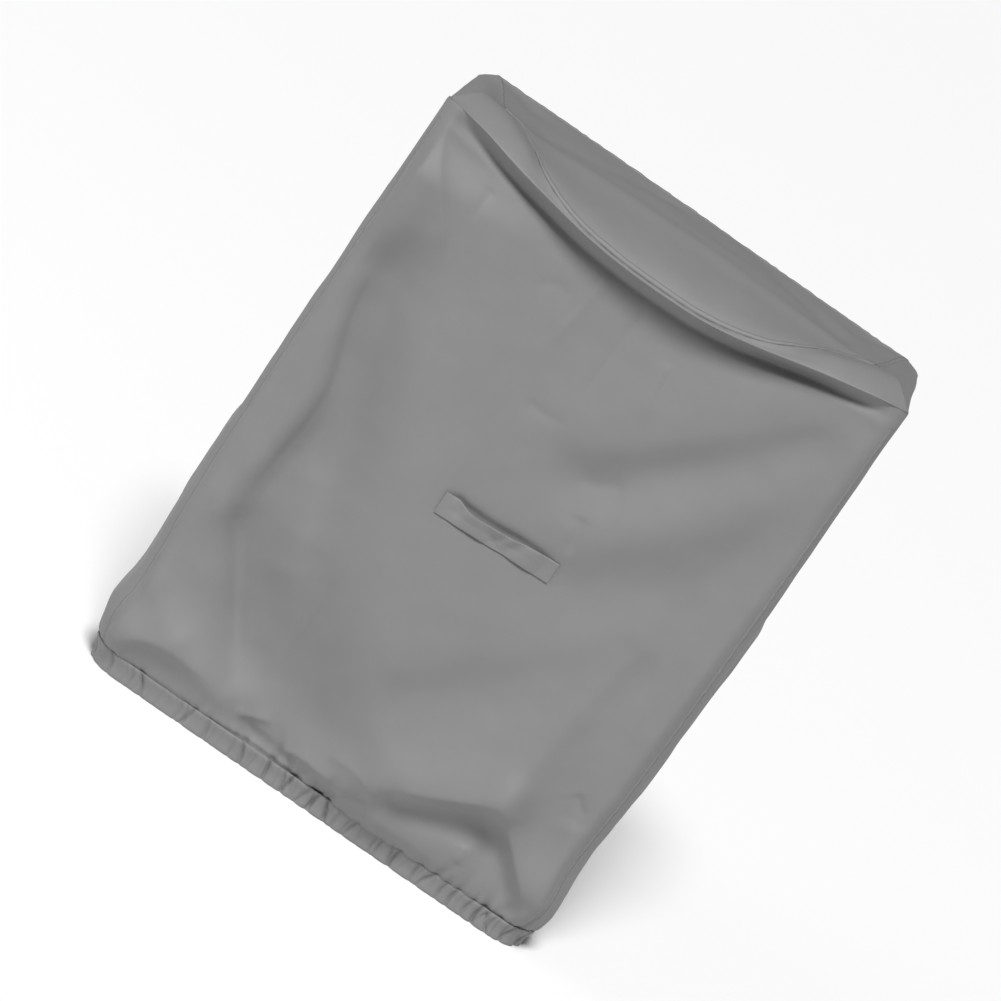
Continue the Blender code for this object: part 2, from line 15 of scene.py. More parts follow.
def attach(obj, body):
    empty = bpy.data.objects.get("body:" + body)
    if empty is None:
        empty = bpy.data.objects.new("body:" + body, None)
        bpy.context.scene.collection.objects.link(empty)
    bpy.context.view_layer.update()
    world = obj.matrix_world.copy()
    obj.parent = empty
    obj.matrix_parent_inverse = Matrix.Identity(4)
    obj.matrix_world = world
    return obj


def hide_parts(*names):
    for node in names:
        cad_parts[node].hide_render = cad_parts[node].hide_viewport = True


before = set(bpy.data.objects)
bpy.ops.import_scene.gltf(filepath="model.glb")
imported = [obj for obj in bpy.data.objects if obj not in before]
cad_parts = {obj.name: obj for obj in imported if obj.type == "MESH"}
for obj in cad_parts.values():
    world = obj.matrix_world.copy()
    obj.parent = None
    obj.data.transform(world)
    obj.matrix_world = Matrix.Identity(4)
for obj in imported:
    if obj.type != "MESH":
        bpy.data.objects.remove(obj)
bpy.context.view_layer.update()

# The cover's shape, by the same rules as its solids
HALF_WIDTH = 0.405
HALF_DEPTH = 0.178
MIDDLE_Y = 0.018
OUTLINE = (
    # height, half_width, half_depth, radius
    (0.000, 0.391, 0.166, 0.055),
    (0.018, 0.391, 0.166, 0.055),
    (0.036, 0.399, 0.173, 0.058),
    (0.085, 0.407, 0.181, 0.056),
    (0.150, 0.399, 0.175, 0.046),
    (0.300, 0.403, 0.178, 0.036),
    (0.600, 0.405, 0.178, 0.028),
    (0.950, 0.402, 0.178, 0.018),
    (1.030, 0.401, 0.178, 0.014),
)
CASING_TOP = 0.036
LIP = (
    # lip_x, lip_y, lip_z, seam_x, seam_y, seam_z, tuck
    (-0.395, -0.172, 1.019, -0.335, -0.080, 1.031, 0.000),
    (-0.365, -0.186, 1.016, -0.300, -0.092, 1.028, 0.008),
    (-0.322, -0.192, 1.008, -0.280, -0.112, 1.022, 0.012),
    (-0.279, -0.197, 0.997, -0.255, -0.140, 1.013, 0.012),
    (-0.234, -0.200, 0.986, -0.226, -0.172, 1.000, 0.012),
    (-0.189, -0.202, 0.977, -0.187, -0.193, 0.986, 0.011),
    (-0.146, -0.203, 0.969, -0.146, -0.201, 0.975, 0.010),
    (-0.090, -0.204, 0.962, -0.090, -0.203, 0.967, 0.008),
    (0.010, -0.205, 0.958, 0.010, -0.204, 0.963, 0.008),
    (0.080, -0.205, 0.960, 0.080, -0.204, 0.965, 0.010),
    (0.129, -0.204, 0.966, 0.129, -0.202, 0.973, 0.014),
    (0.175, -0.203, 0.975, 0.174, -0.195, 0.985, 0.022),
    (0.222, -0.200, 0.986, 0.212, -0.174, 1.000, 0.027),
    (0.269, -0.196, 0.997, 0.245, -0.144, 1.012, 0.026),
    (0.315, -0.192, 1.006, 0.279, -0.112, 1.019, 0.018),
    (0.362, -0.184, 1.014, 0.306, -0.090, 1.024, 0.009),
    (0.395, -0.172, 1.017, 0.332, -0.078, 1.028, 0.000),
)
SIDE_EDGE = (
    # fraction, edge_x, edge_z, seam_x, seam_z
    (0.20, 0.400, 1.008, 0.341, 1.024),
    (0.50, 0.400, 1.006, 0.352, 1.021),
    (0.80, 0.400, 1.009, 0.365, 1.021),
)
BACK_EDGE_Z = 1.010
BACK_SEAM_Y = 0.164
BACK_SEAM = (
    # fraction, seam_z
    (0.12, 1.023),
    (0.50, 1.022),
    (0.88, 1.019),
)
BACK_CORNER_SEAMS = {"left": (0.378, 0.158, 1.024), "right": (0.376, 0.158, 1.020)}

# How the cloth turns over the roof's edge: the lip's underside, the tuck under it and the crown on it
LIP_UNDERSIDE = 0.004
LIP_UNDERSIDE_SHARE = 0.60
FULL_LIP_TUCK = 0.009
TUCKED_BELOW = 0.55
TUCKED_SHARE = 0.50
WALL_STARTS_BELOW = 0.036
CROWN_FROM = 0.02
CROWN_BAND = 0.05
CROWN_LIFT = 0.10
CROWN_TILT = 0.25

FRONT_BELLY = (
    # height, forward
    (0.00, 0.000),
    (0.10, 0.002),
    (0.30, 0.010),
    (0.55, 0.004),
    (0.75, -0.004),
    (0.94, -0.010),
    (1.03, -0.010),
)
BELLY_SQUARENESS = 4

# Folds: a soft ridge (height over 0) or trough (under 0) along a few points of the panel. A point
# is the place across and the height above the floor, or on the roof the place towards the back.
FRONT_FOLDS = (
    # height, left_width, right_width, points
    (0.012, 0.024, 0.028, ((-0.390, 0.99), (-0.374, 0.89), (-0.358, 0.78), (-0.342, 0.65),
        (-0.316, 0.53), (-0.322, 0.42), (-0.332, 0.33))),
    (0.038, 0.100, 0.066, ((-0.380, 0.98), (-0.328, 0.88), (-0.272, 0.79), (-0.216, 0.68),
        (-0.160, 0.56), (-0.100, 0.43), (-0.040, 0.325), (0.025, 0.225), (0.090, 0.150))),
    (-0.028, 0.070, 0.026, ((-0.336, 0.74), (-0.314, 0.64), (-0.284, 0.53), (-0.292, 0.42),
        (-0.300, 0.335), (-0.255, 0.238), (-0.190, 0.130), (-0.120, 0.060))),
    (0.006, 0.018, 0.026, ((-0.255, 0.42), (-0.236, 0.36), (-0.218, 0.30))),
    (0.012, 0.032, 0.058, ((0.380, 1.00), (0.300, 0.935), (0.200, 0.842), (0.100, 0.757),
        (0.055, 0.725))),
    (-0.008, 0.030, 0.030, ((0.360, 0.965), (0.300, 0.885), (0.200, 0.768), (0.120, 0.690),
        (0.060, 0.655))),
    (0.012, 0.036, 0.034, ((0.368, 0.960), (0.335, 0.850), (0.300, 0.775), (0.200, 0.667),
        (0.118, 0.575))),
    (-0.010, 0.055, 0.045, ((0.345, 0.900), (0.343, 0.760), (0.305, 0.630), (0.240, 0.562),
        (0.130, 0.532))),
    (0.009, 0.016, 0.028, ((0.385, 0.98), (0.379, 0.80), (0.377, 0.55), (0.375, 0.30), (0.378, 0.10))),
    (-0.008, 0.045, 0.028, ((0.270, 0.480), (0.220, 0.410), (0.160, 0.350), (0.100, 0.300),
        (0.040, 0.250))),
    (0.011, 0.022, 0.045, ((0.275, 0.500), (0.262, 0.440), (0.254, 0.370), (0.247, 0.290),
        (0.247, 0.190))),
    (0.016, 0.044, 0.016, ((0.095, 0.124), (0.150, 0.148), (0.200, 0.172), (0.247, 0.197))),
    (0.014, 0.036, 0.018, ((0.247, 0.197), (0.300, 0.138), (0.366, 0.070))),
    (-0.014, 0.020, 0.020, ((0.120, 0.100), (0.200, 0.121), (0.250, 0.136), (0.300, 0.102),
        (0.345, 0.070))),
    (0.012, 0.030, 0.016, ((-0.365, 0.060), (-0.340, 0.081), (-0.300, 0.095), (-0.250, 0.094),
        (-0.190, 0.084))),
    (0.010, 0.024, 0.020, ((-0.385, 0.176), (-0.345, 0.152), (-0.293, 0.120))),
    (0.008, 0.030, 0.014, ((-0.150, 0.072), (-0.060, 0.066), (0.030, 0.072))),
)
BACK_FOLDS = (
    # height, left_width, right_width, points
    (-0.010, 0.026, 0.026, ((-0.370, 0.99), (-0.220, 0.80), (-0.120, 0.62))),
    (0.008, 0.026, 0.026, ((-0.300, 0.97), (-0.150, 0.81), (-0.040, 0.60))),
    (-0.010, 0.028, 0.028, ((0.375, 0.98), (0.260, 0.77), (0.150, 0.60), (0.090, 0.42))),
    (0.010, 0.030, 0.030, ((0.330, 0.62), (0.240, 0.44), (0.230, 0.20))),
    (0.009, 0.030, 0.030, ((-0.280, 0.50), (-0.300, 0.33), (-0.200, 0.14))),
    (-0.010, 0.028, 0.028, ((-0.100, 0.40), (0.020, 0.24), (0.120, 0.11))),
    (-0.009, 0.020, 0.020, ((-0.330, 0.08), (-0.230, 0.11), (-0.120, 0.08))),
    (-0.009, 0.020, 0.020, ((0.160, 0.08), (0.250, 0.12), (0.340, 0.08))),
)
LEFT_FOLDS = (
    # height, left_width, right_width, points
    (-0.008, 0.020, 0.020, ((-0.120, 0.97), (-0.060, 0.74), (-0.030, 0.52))),
    (0.008, 0.022, 0.022, ((0.110, 0.93), (0.060, 0.66), (0.080, 0.40))),
    (-0.009, 0.024, 0.024, ((0.100, 0.52), (0.010, 0.30), (-0.040, 0.16))),
    (0.008, 0.022, 0.022, ((-0.090, 0.42), (-0.070, 0.26), (-0.100, 0.10))),
    (-0.008, 0.016, 0.016, ((-0.080, 0.08), (0.020, 0.11), (0.110, 0.08))),
)
RIGHT_FOLDS = (
    # height, left_width, right_width, points
    (-0.009, 0.022, 0.022, ((-0.130, 0.93), (-0.020, 0.70), (0.040, 0.46))),
    (0.004, 0.022, 0.022, ((0.120, 0.88), (0.090, 0.60), (0.030, 0.34))),
    (0.007, 0.020, 0.020, ((-0.110, 0.60), (-0.080, 0.36), (-0.040, 0.20))),
    (-0.009, 0.022, 0.022, ((0.110, 0.34), (0.050, 0.20), (-0.050, 0.14))),
    (-0.008, 0.016, 0.016, ((-0.110, 0.10), (0.000, 0.08), (0.090, 0.11))),
)
ROOF_FOLDS = (
    # height, left_width, right_width, points
    (0.004, 0.018, 0.018, ((-0.300, -0.090), (-0.180, -0.060), (0.000, -0.045), (0.180, -0.055),
        (0.300, -0.085))),
    (-0.004, 0.020, 0.020, ((-0.250, -0.010), (-0.130, 0.060), (-0.060, 0.120))),
    (-0.003, 0.020, 0.020, ((0.260, 0.000), (0.170, 0.070), (0.120, 0.130))),
    (-0.004, 0.018, 0.018, ((-0.330, 0.150), (-0.300, 0.100))),
    (-0.004, 0.018, 0.018, ((0.320, 0.150), (0.290, 0.100))),
)
ROOF_WIDTH = 0.70
ROOF_DEPTH = 0.24
ROOF_FLAT_FROM = 0.66
ROOF_ROLL = (1.8, 1.6)
ROOF_CROWN = 0.004
ROOF_CROWDING = 1.8

# The folds grow calm below the lip, above the hem and beside the seams
LIP_CALM = 0.65
LIP_CALM_FROM = 0.90
LIP_CALM_BAND = 0.07
HEM_CALM_FROM = 0.016
HEM_CALM_BAND = 0.045
FOLD_FADE = 0.022

# Small unevenness of the cloth, as layers of height, pitch and seed
FRONT_RUMPLES = ((0.0010, 0.075, 3), (0.0006, 0.031, 4))
ROOF_RUMPLES = ((0.0014, 0.06, 61),)
WALL_RUMPLES = ((0.0018, 0.080, 0), (0.0007, 0.033, 1))
RUMPLE_CELLS = 64
RUMPLE_SHIFT = 20.0

# The fine cloth lies half way through the solids' cloth, and on the roof rises to it from the seams
CLOTH_MIDDLE = 0.001
CLOTH_RISE = 0.012

# Grids of the fine cloth
FRONT_GRID = (250, 270)
BACK_GRID = (190, 200)
SIDE_GRID = (100, 230)
ROOF_GRID = (220, 90)
EDGE_ROWS = 44
EDGE_KNOTS = 5
WALL_CROWDING = 1.15
WALL_INTO_CASING = 0.004
HEM_COLUMNS = {"front": 520, "back": 420, "left": 200, "right": 200}

# Sharp creases that only the fine cloth has, with the same columns
FRONT_CREASES = (
    # height, left_width, right_width, points
    (-0.0065, 0.036, 0.007, ((-0.352, 0.76), (-0.338, 0.66), (-0.308, 0.55), (-0.314, 0.43),
        (-0.324, 0.330))),
    (-0.0065, 0.036, 0.007, ((-0.340, 0.345), (-0.302, 0.285), (-0.262, 0.222), (-0.195, 0.115))),
    (-0.0055, 0.0050, 0.0160, ((-0.092, 0.540), (-0.060, 0.541), (-0.044, 0.5365),
        (0.010, 0.5345), (0.060, 0.5375), (0.128, 0.5385))),
    (0.0040, 0.006, 0.016, ((-0.388, 0.990), (-0.352, 0.930), (-0.305, 0.865), (-0.272, 0.810))),
    (-0.0022, 0.006, 0.008, ((-0.272, 0.945), (-0.274, 0.920), (-0.272, 0.885))),
    (0.0022, 0.010, 0.005, ((-0.066, 0.950), (-0.070, 0.900), (-0.074, 0.850), (-0.084, 0.780))),
    (-0.0020, 0.008, 0.006, ((0.004, 0.935), (0.002, 0.850), (0.000, 0.720))),
    (0.0026, 0.006, 0.010, ((0.078, 0.880), (0.082, 0.830), (0.092, 0.770))),
    (-0.0022, 0.006, 0.009, ((-0.065, 0.716), (-0.030, 0.712), (0.012, 0.718))),
    (-0.0018, 0.008, 0.012, ((-0.150, 0.860), (-0.120, 0.878), (-0.085, 0.872))),
    (-0.0030, 0.014, 0.014, ((0.130, 0.690), (0.095, 0.668), (0.055, 0.655))),
    (-0.0035, 0.008, 0.012, ((0.102, 0.620), (0.108, 0.590), (0.112, 0.552))),
    (-0.0030, 0.006, 0.012, ((0.328, 0.270), (0.342, 0.254), (0.358, 0.244))),
    (0.0050, 0.010, 0.016, ((0.345, 0.235), (0.362, 0.180), (0.368, 0.090))),
    (0.0055, 0.020, 0.006, ((0.095, 0.123), (0.150, 0.147), (0.200, 0.171), (0.247, 0.196))),
    (0.0045, 0.016, 0.006, ((0.250, 0.194), (0.275, 0.164), (0.320, 0.118), (0.366, 0.068))),
    (0.0030, 0.006, 0.006, ((0.234, 0.106), (0.237, 0.088), (0.242, 0.070))),
    (-0.0045, 0.008, 0.008, ((0.000, 0.030), (0.030, 0.050), (0.060, 0.070), (0.088, 0.085))),
    (0.0040, 0.012, 0.010, ((-0.020, 0.100), (0.030, 0.109), (0.070, 0.101), (0.096, 0.078))),
    (0.0060, 0.016, 0.005, ((-0.075, 0.054), (-0.045, 0.069), (0.000, 0.070), (0.024, 0.062))),
    (0.0050, 0.014, 0.005, ((-0.158, 0.066), (-0.130, 0.076), (-0.100, 0.087))),
    (0.0040, 0.020, 0.008, ((-0.365, 0.060), (-0.340, 0.082), (-0.300, 0.096), (-0.240, 0.094),
        (-0.190, 0.084))),
    (-0.0025, 0.006, 0.006, ((-0.145, 0.340), (-0.146, 0.280), (-0.148, 0.215), (-0.150, 0.160))),
)


def smoothstep(value):
    """Rises from 0 to 1 as the value goes from 0 to 1, with no corner at either end."""
    value = np.clip(value, 0.0, 1.0)
    return value * value * (3.0 - 2.0 * value)


def through(at, knots, values):
    """A smooth curve through values given at rising knots, read at the places in at."""
    knots = np.asarray(knots, float)
    values = np.asarray(values, float)
    slopes = np.gradient(values, knots, axis=0)
    low = np.clip(np.searchsorted(knots, at, side="right") - 1, 0, len(knots) - 2)
    span = knots[low + 1] - knots[low]
    part = np.clip((at - knots[low]) / span, 0.0, 1.0)
    if values.ndim == 2:
        span = span[:, None]
        part = part[:, None]
    rest = 1.0 - part
    return (
        (1.0 + 2.0 * part) * rest**2 * values[low]
        + part * rest**2 * span * slopes[low]
        + part**2 * (3.0 - 2.0 * part) * values[low + 1]
        - part**2 * rest * span * slopes[low + 1]
    )


def read_outline(height):
    """Half width, half depth and corner radius of the walls at each height."""
    table = np.array(OUTLINE)
    return through(height, table[:, 0], table[:, 1:]).T


# A stroke ends so many widths away, its two widths blend close to its line, and a crease has soft ends
STROKE_REACH = 4.5
SIDE_BLEND = 0.0001
CREASE_BLUNT = 0.35
CREASE_FADE_IN = 0.2
CREASE_FADE_OUT = 0.3


def smooth_path(points, steps=6):
    """A fold's few points joined by a smooth curve."""
    points = np.asarray(points, float)
    knots = np.arange(len(points))
    return through(np.linspace(0.0, len(points) - 1.0, steps * (len(points) - 1) + 1), knots, points)


def nearest_on(path, across, up):
    """Distance to a path, the side of it that each place is on, and how far along it that is."""
    start, step = path[:-1], np.diff(path, axis=0)
    along_x = across[:, None] - start[:, 0]
    along_z = up[:, None] - start[:, 1]
    part = (along_x * step[:, 0] + along_z * step[:, 1]) / (step**2).sum(axis=1)
    held = np.clip(part, 0.0, 1.0)
    gap = np.hypot(along_x - held * step[:, 0], along_z - held * step[:, 1])
    best = gap.argmin(axis=1)
    row = np.arange(len(across))
    length = np.sqrt((step**2).sum(axis=1))
    turn = (step[best, 0] * along_z[row, best] - step[best, 1] * along_x[row, best]) / length[best]
    return gap[row, best], turn, (best + held[row, best]) / len(step)


def stroke_relief(across, up, strokes, profile):
    """The sum of ridges and troughs along short smooth paths, each with its own width either side."""
    relief = np.zeros_like(across)
    for height, left_width, right_width, points in strokes:
        path = smooth_path(points)
        reach = STROKE_REACH * max(left_width, right_width)
        near = np.flatnonzero(
            (across > path[:, 0].min() - reach)
            & (across < path[:, 0].max() + reach)
            & (up > path[:, 1].min() - reach)
            & (up < path[:, 1].max() + reach)
        )
        if len(near):
            gap, turn, along = nearest_on(path, across[near], up[near])
            left_share = 0.5 + 0.5 * np.clip(turn / (gap + SIDE_BLEND), -1.0, 1.0)
            width = right_width + (left_width - right_width) * left_share
            relief[near] += height * profile(gap / width, along)
    return relief


def soft_profile(steps, along):
    """A soft round fold."""
    return np.exp(-0.5 * steps**2)


def sharp_profile(steps, along):
    """A crease with an edge, which dies away towards its ends."""
    fade = smoothstep(along / CREASE_FADE_IN) * smoothstep((1.0 - along) / CREASE_FADE_OUT)
    return fade * np.exp(CREASE_BLUNT - np.hypot(steps, CREASE_BLUNT))


def fold_relief(across, up, folds):
    """The panel's main folds."""
    return stroke_relief(across, up, folds, soft_profile)


def crease_relief(across, up, creases):
    """The panel's sharp creases."""
    return stroke_relief(across, up, creases, sharp_profile)


def rumple(across, up, pitch, seed):
    """Smooth uneven relief from -1 to 1, with hollows and humps about a pitch apart."""
    lattice = np.random.default_rng(seed).uniform(-1.0, 1.0, (RUMPLE_CELLS, RUMPLE_CELLS))
    x, z = across / pitch + RUMPLE_SHIFT, up / pitch + RUMPLE_SHIFT
    column, row = np.floor(x).astype(int), np.floor(z).astype(int)
    part_x, part_z = smoothstep(x - column), smoothstep(z - row)
    column, row = column % (RUMPLE_CELLS - 1), row % (RUMPLE_CELLS - 1)
    low = lattice[row, column] * (1.0 - part_x) + lattice[row, column + 1] * part_x
    high = lattice[row + 1, column] * (1.0 - part_x) + lattice[row + 1, column + 1] * part_x
    return low * (1.0 - part_z) + high * part_z


def rumpled(across, up, layers):
    """The sum of a few layers of rumple, each with its height, pitch and seed."""
    return sum(height * rumple(across, up, pitch, seed) for height, pitch, seed in layers)


def rounded(across, half_across, half_out, radius):
    """Distance out of a wall with rounded corners, and how far its face has turned there."""
    past = np.clip(np.abs(across) - (half_across - radius), 0.0, None)
    turn = np.clip(past / radius, 0.0, 1.0)
    out = half_out - radius + radius * np.sqrt(1.0 - turn * turn)
    return out, turn * np.sign(across)


def to_corner(half_across, radius):
    """Half the width of a wall, up to the middles of its corners' arcs."""
    return half_across - radius * (1.0 - math.sqrt(0.5))


def front_relief(across, height):
    """How far the front cloth stands forward of its outline."""
    table = np.array(FRONT_BELLY)
    share = np.clip(1.0 - (across / HALF_WIDTH) ** BELLY_SQUARENESS, 0.0, 1.0)
    calm = 1.0 - LIP_CALM * smoothstep((height - LIP_CALM_FROM) / LIP_CALM_BAND)
    calm *= smoothstep((height - HEM_CALM_FROM) / HEM_CALM_BAND)
    free = through(height, table[:, 0], table[:, 1]) * share
    free += calm * fold_relief(across, height, FRONT_FOLDS)
    free += crease_relief(across, height, FRONT_CREASES)
    return free + rumpled(across, height, FRONT_RUMPLES)


def side_relief(folds, seed):
    """The relief of a wall with the given folds."""

    def relief(across, height):
        layers = [(rise, pitch, seed + number) for rise, pitch, number in WALL_RUMPLES]
        return fold_relief(across, height, folds) + rumpled(across, height, layers)

    return relief


# The gathered hem's pleats, each with its place around the foot, its depth and its slant
FOOT_HALF_WIDTH = 0.375
FOOT_HALF_DEPTH = 0.150
FOOT_ROUND = 4.0 * (FOOT_HALF_WIDTH + FOOT_HALF_DEPTH)
PLEAT_PITCH = 0.0125
PUCKER_DEPTH = 0.0075
PUCKER_WIDTH = 0.0036
PUCKER_WIDENS_OVER = 0.03
PUCKER_RISE = (0.008, 0.034)
PUCKER_REACH = 0.06
PUCKERS_BELOW = 0.17
CASING_STEPS = 30
CASING_HALF_THICKNESS = 0.0046
CASING_LIFT_POWER = 0.6
CASING_OUT_POWER = 0.8
CASING_GROOVE = 0.0028
GROOVE_WIDTH = 0.0035
PLEAT_DEPTH = 0.0080
PLEAT_WIDTH = 0.0024
PLEAT_BLUNT = 0.0006
PLEAT_REACH = 0.05
PLEAT_SLANT = 0.22
PLEAT_SPACING = (0.5, 1.5)
PLEAT_SEED = 21
SHALLOWEST_PLEAT = 0.15
INNER_PLEAT_SHARE = 0.25


def scatter_pleats():
    """Rows of place, depth, slant and rise of each pleat, unevenly spaced around the foot."""
    random = np.random.default_rng(PLEAT_SEED)
    rows = []
    place = 0.0
    while place < FOOT_ROUND - 0.5 * PLEAT_PITCH:
        depth = SHALLOWEST_PLEAT + (1.0 - SHALLOWEST_PLEAT) * random.uniform() ** 2
        slant = random.normal(0.0, PLEAT_SLANT)
        rise = random.uniform(*PUCKER_RISE)
        rows.append((place, depth, slant, rise))
        place += PLEAT_PITCH * random.uniform(*PLEAT_SPACING)
    return np.array(rows)


PLEATS = scatter_pleats()


def around_foot(side, fraction):
    """Distance around the foot of the cover, which runs on from wall to wall."""
    if side == "front":
        return FOOT_HALF_WIDTH * (2.0 * fraction - 1.0)
    if side == "right":
        return FOOT_HALF_WIDTH + FOOT_HALF_DEPTH * 2.0 * fraction
    if side == "left":
        return -FOOT_HALF_WIDTH - FOOT_HALF_DEPTH * 2.0 * fraction
    return FOOT_HALF_WIDTH + 2.0 * FOOT_HALF_DEPTH + FOOT_HALF_WIDTH * (2.0 - 2.0 * fraction)


def from_pleat(around, place):
    """Signed distance around the foot from a pleat, the short way."""
    return (around - place + 0.5 * FOOT_ROUND) % FOOT_ROUND - 0.5 * FOOT_ROUND


def hem_puckers(around, height):
    """The small gathers that fan out above the elastic hem and die away, and its stitched groove."""
    above = np.clip(height - CASING_TOP, 0.0, None)
    relief = -CASING_GROOVE * np.exp(-((above / GROOVE_WIDTH) ** 2))
    low = height < PUCKERS_BELOW
    for place, depth, slant, rise in PLEATS:
        gap = from_pleat(around, place)
        near = np.flatnonzero(low & (np.abs(gap) < PUCKER_REACH))
        drift = gap[near] - slant * above[near]
        width = PUCKER_WIDTH * (1.0 + above[near] / PUCKER_WIDENS_OVER)
        relief[near] -= PUCKER_DEPTH * depth * np.exp(-0.5 * (drift / width) ** 2 - above[near] / rise)
    return relief


def casing_pleats(around, height):
    """The pleats of the elastic casing: narrow valleys with soft rolls between them."""
    relief = np.zeros_like(around)
    for place, depth, slant, _ in PLEATS:
        gap = from_pleat(around, place)
        near = np.flatnonzero(np.abs(gap) < PLEAT_REACH)
        aside = gap[near] - slant * (height[near] - CASING_TOP)
        drift = np.hypot(aside, PLEAT_BLUNT) - PLEAT_BLUNT
        relief[near] -= PLEAT_DEPTH * depth * np.exp(-drift / PLEAT_WIDTH)
    return relief


def hem_grid(side, columns):
    """The casing of one wall: a flattened tube of cloth that its elastic draws into pleats."""
    fraction = np.linspace(0.0, 1.0, columns + 1)
    around = around_foot(side, fraction)
    rows = []
    for step in range(CASING_STEPS):
        angle = math.tau * step / CASING_STEPS
        lift = math.copysign(abs(math.cos(angle)) ** CASING_LIFT_POWER, math.cos(angle))
        out = math.copysign(abs(math.sin(angle)) ** CASING_OUT_POWER, math.sin(angle))
        height = np.full(columns + 1, 0.5 * CASING_TOP * (1.0 + lift))
        base = wall_base(side, fraction, height)
        normal = base[:, 3:]
        swell = CASING_HALF_THICKNESS * out - CASING_GROOVE
        pleated = INNER_PLEAT_SHARE + (1.0 - INNER_PLEAT_SHARE) * max(out, 0.0)
        swell = swell + casing_pleats(around, height) * pleated
        rows.append(base[:, :3] + normal * swell[:, None])
    rows.append(rows[0])
    return np.array(rows) + (0.0, MIDDLE_Y, 0.0)


def wall_base(side, fraction, height):
    """Points on a wall's outline at a fraction of its width and at a height, and which way is out."""
    half_width, half_depth, radius = read_outline(height)
    if side in ("front", "back"):
        half_across, half_out = half_width, half_depth
    else:
        half_across, half_out = half_depth, half_width
    across = (2.0 * fraction - 1.0) * to_corner(half_across, radius)
    out, turn = rounded(across, half_across, half_out, radius)
    facing = np.sqrt(1.0 - turn * turn)
    nothing = np.zeros_like(across)
    if side == "front":
        return np.stack([across, -out, height, turn, -facing, nothing], axis=1)
    if side == "back":
        return np.stack([across, out, height, turn, facing, nothing], axis=1)
    if side == "left":
        return np.stack([-out, across, height, -facing, turn, nothing], axis=1)
    return np.stack([out, across, height, facing, turn, nothing], axis=1)


def wall_points(side, fraction, height):
    """Points on a wall's cloth, with its folds, at a fraction of its width and at a height."""
    base = wall_base(side, fraction, height)
    half_width, half_depth, radius = read_outline(height)
    half_across = half_width if side in ("front", "back") else half_depth
    corner = to_corner(half_across, radius)
    across = (2.0 * fraction - 1.0) * corner
    relief = RELIEF[side](across, height) * smoothstep((corner - np.abs(across)) / FOLD_FADE)
    relief += CLOTH_MIDDLE + hem_puckers(around_foot(side, fraction), height)
    return base[:, :3] + base[:, 3:] * relief[:, None]


RELIEF = {
    "front": front_relief,
    "back": side_relief(BACK_FOLDS, 31),
    "left": side_relief(LEFT_FOLDS, 41),
    "right": side_relief(RIGHT_FOLDS, 51),
}


def corner_row(corner):
    """Edge point, seam point and tuck of one of the four upper corners."""
    front_or_back, left_or_right = corner
    if front_or_back == "front":
        row = LIP[0] if left_or_right == "left" else LIP[-1]
        return (*row[:3], *row[3:6], row[6])
    sign = -1.0 if left_or_right == "left" else 1.0
    edge_x, edge_y = corner_edge("back", BACK_EDGE_Z)
    seam_x, seam_y, seam_z = BACK_CORNER_SEAMS[left_or_right]
    return (sign * edge_x, edge_y, BACK_EDGE_Z, sign * seam_x, seam_y, seam_z, 0.0)


def corner_edge(side, height):
    """The middle of a corner's arc at a height, on the right."""
    x, y, _ = wall_points(side, np.array([1.0]), np.array([height]))[0]
    return x, y


def edge_table(side):
    """Rows of fraction, edge point, seam point and tuck along a panel's upper edge."""
    if side == "front":
        rows = [((row[0] - LIP[0][0]) / (LIP[-1][0] - LIP[0][0]), *row) for row in LIP]
    elif side == "back":
        rows = [(0.0, *corner_row(("back", "left")))]
        for fraction, seam_z in BACK_SEAM:
            x = (2.0 * fraction - 1.0) * corner_edge("back", BACK_EDGE_Z)[0]
            rows.append((fraction, x, HALF_DEPTH, BACK_EDGE_Z, x, BACK_SEAM_Y, seam_z, 0.0))
        rows.append((1.0, *corner_row(("back", "right"))))
    else:
        sign = -1.0 if side == "left" else 1.0
        front, back = corner_row(("front", side)), corner_row(("back", side))
        rows = [(0.0, *front)]
        for fraction, edge_x, edge_z, seam_x, seam_z in SIDE_EDGE:
            edge_y = front[1] + fraction * (back[1] - front[1])
            seam_y = front[4] + fraction * (back[4] - front[4])
            rows.append((fraction, sign * edge_x, edge_y, edge_z, sign * seam_x, seam_y, seam_z, 0.0))
        rows.append((1.0, *back))
    return np.array(rows)


def roof_edge_knots(side, fraction):
    """The path from the roof seam over the edge to the wall, as points for each fraction."""
    table = edge_table(side)
    row = through(fraction, table[:, 0], table[:, 1:])
    edge, seam, tuck = row[:, 0:3], row[:, 3:6], row[:, 6]
    below_edge = (
        LIP_UNDERSIDE,
        TUCKED_BELOW * WALL_STARTS_BELOW,
        WALL_STARTS_BELOW,
        2.0 * WALL_STARTS_BELOW,
    )
    wall = [wall_points(side, fraction, edge[:, 2] - below) for below in below_edge]
    reach = np.linalg.norm(seam - edge, axis=1)
    outward = edge - wall[2]
    outward[:, 2] = 0.0
    on_roof = smoothstep((reach - CROWN_FROM) / CROWN_BAND)
    crown = 0.5 * (seam + edge)
    crown[:, 2] += on_roof * (CROWN_LIFT * reach + CROWN_TILT * (seam[:, 2] - edge[:, 2]))
    under, tucked = wall[0].copy(), wall[1].copy()
    lip = smoothstep(tuck / FULL_LIP_TUCK)[:, None]
    below_lip = edge[:, :2] - LIP_UNDERSIDE_SHARE * outward[:, :2]
    under[:, :2] = lip * below_lip + (1.0 - lip) * under[:, :2]
    if side == "front":
        tucked[:, 1] += TUCKED_SHARE * tuck
    return np.stack([seam, crown, edge, under, tucked, wall[2], wall[3]], axis=1)


